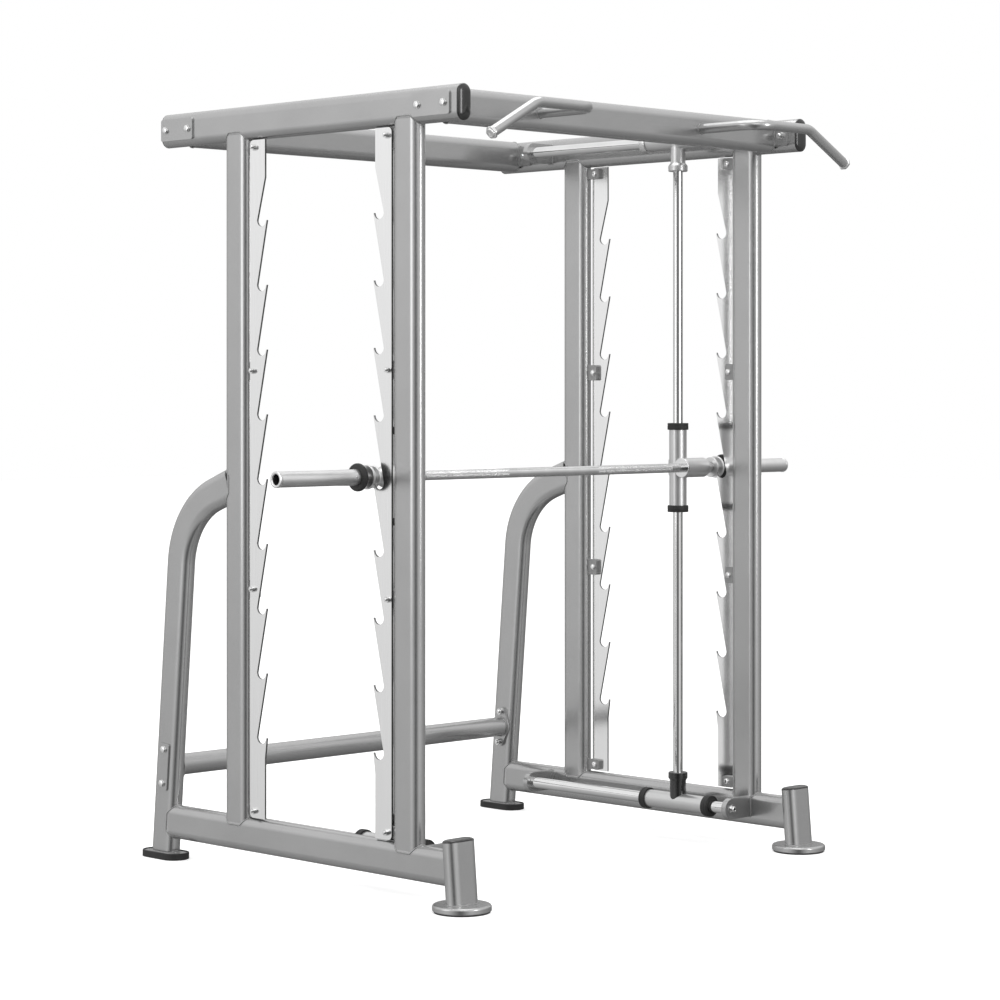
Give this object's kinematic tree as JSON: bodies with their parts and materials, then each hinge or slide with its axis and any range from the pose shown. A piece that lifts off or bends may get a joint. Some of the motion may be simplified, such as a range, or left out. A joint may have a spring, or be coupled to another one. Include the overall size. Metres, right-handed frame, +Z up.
{
  "type": "smith machine",
  "caption": "Free-standing barbell rack whose bar climbs upright guide rods and travels front to rear on chrome rails, with toothed catch plates and bent pull-up handles.",
  "frame": {"origin": "centre of the bounding box at floor level, under the middle of the machine", "axes": "+X along the bar to the right, +Y to the rear, +Z up; the pull-up handles are at the front"},
  "size_m": [2.137, 1.5239, 2.2219],
  "materials": {
    "frame_paint": "metallic silver-grey powder coat, satin",
    "shell_paint": "satin silver paint",
    "chrome": "hard chrome, polished",
    "polished_steel": "polished bright steel",
    "black_rubber": "matt moulded rubber",
    "black_plastic": "glossy moulded plastic",
    "zinc_fastener": "bright zinc plate",
    "bearing_polymer": "natural bearing polymer"
  },
  "bodies": {
    "frame": {"left_base_tube": "frame_paint", "left_top_tube": "frame_paint", "left_rear_leg": "frame_paint", "left_front_upright": "frame_paint", "left_rear_upright": "frame_paint", "left_pull_up_handle": "frame_paint", "left_front_catch_plate": "polished_steel", "left_rear_catch_plate": "polished_steel", "right_base_tube": "frame_paint", "right_top_tube": "frame_paint", "right_rear_leg": "frame_paint", "right_front_upright": "frame_paint", "right_rear_upright": "frame_paint", "right_pull_up_handle": "frame_paint", "right_front_catch_plate": "polished_steel", "right_rear_catch_plate": "polished_steel", "front_posts": "frame_paint", "front_feet": "frame_paint", "rear_feet": "frame_paint", "rubber_pads": "black_rubber", "end_caps": "black_plastic", "front_crossmember": "frame_paint", "rear_crossmember": "frame_paint", "lower_crossmember": "frame_paint", "crossmember_flanges": "frame_paint", "backing_plates": "frame_paint", "crossmember_bolts": "zinc_fastener", "catch_bolts": "zinc_fastener", "lock_nuts": "zinc_fastener", "catch_tabs": "frame_paint", "slide_rails": "chrome", "rail_brackets": "frame_paint", "rail_screws": "zinc_fastener", "handle_caps": "chrome"},
    "left_trolley": {"left_lower_slider": "shell_paint", "left_upper_slider": "shell_paint", "left_lower_socket": "black_plastic", "left_upper_socket": "shell_paint", "left_slider_collars": "black_rubber", "left_slider_bushes": "bearing_polymer", "left_guide_rod": "chrome"},
    "left_carriage": {"left_carriage": "shell_paint", "left_carriage_collars": "black_rubber", "left_carriage_bushes": "bearing_polymer", "left_bar_bush": "chrome"},
    "right_trolley": {"right_lower_slider": "shell_paint", "right_upper_slider": "shell_paint", "right_lower_socket": "black_plastic", "right_upper_socket": "shell_paint", "right_slider_collars": "black_rubber", "right_slider_bushes": "bearing_polymer", "right_guide_rod": "chrome"},
    "right_carriage": {"right_carriage": "shell_paint", "right_carriage_collars": "black_rubber", "right_carriage_bushes": "bearing_polymer", "right_bar_bush": "chrome"},
    "bar": {"bar_shaft": "chrome", "bar_flanges": "chrome", "bar_rings": "black_rubber", "bar_sleeves": "chrome"}
  },
  "joints": [
    {"name": "trolley_slide", "type": "slide", "parent": "frame", "child": "left_trolley", "axis": [0, 1, 0], "range_m": [-0.0385, 0.4605]},
    {"name": "right_trolley_slide", "type": "slide", "parent": "frame", "child": "right_trolley", "axis": [0, 1, 0], "range_m": [-0.0385, 0.4605]},
    {"name": "bar_lift", "type": "slide", "parent": "left_trolley", "child": "left_carriage", "axis": [0, 0, 1], "range_m": [-0.7638, 0.7448]},
    {"name": "right_bar_lift", "type": "slide", "parent": "right_trolley", "child": "right_carriage", "axis": [0, 0, 1], "range_m": [-0.7638, 0.7448]},
    {"name": "bar_spin", "type": "hinge", "parent": "left_carriage", "child": "bar", "pos_m": [0, -0.244, 1.1586], "axis": [1, 0, 0], "continuous": true}
  ],
  "couplings": [
    {"joint": "right_trolley_slide", "follows": "trolley_slide", "ratio": 1},
    {"joint": "right_bar_lift", "follows": "bar_lift", "ratio": 1}
  ]
}
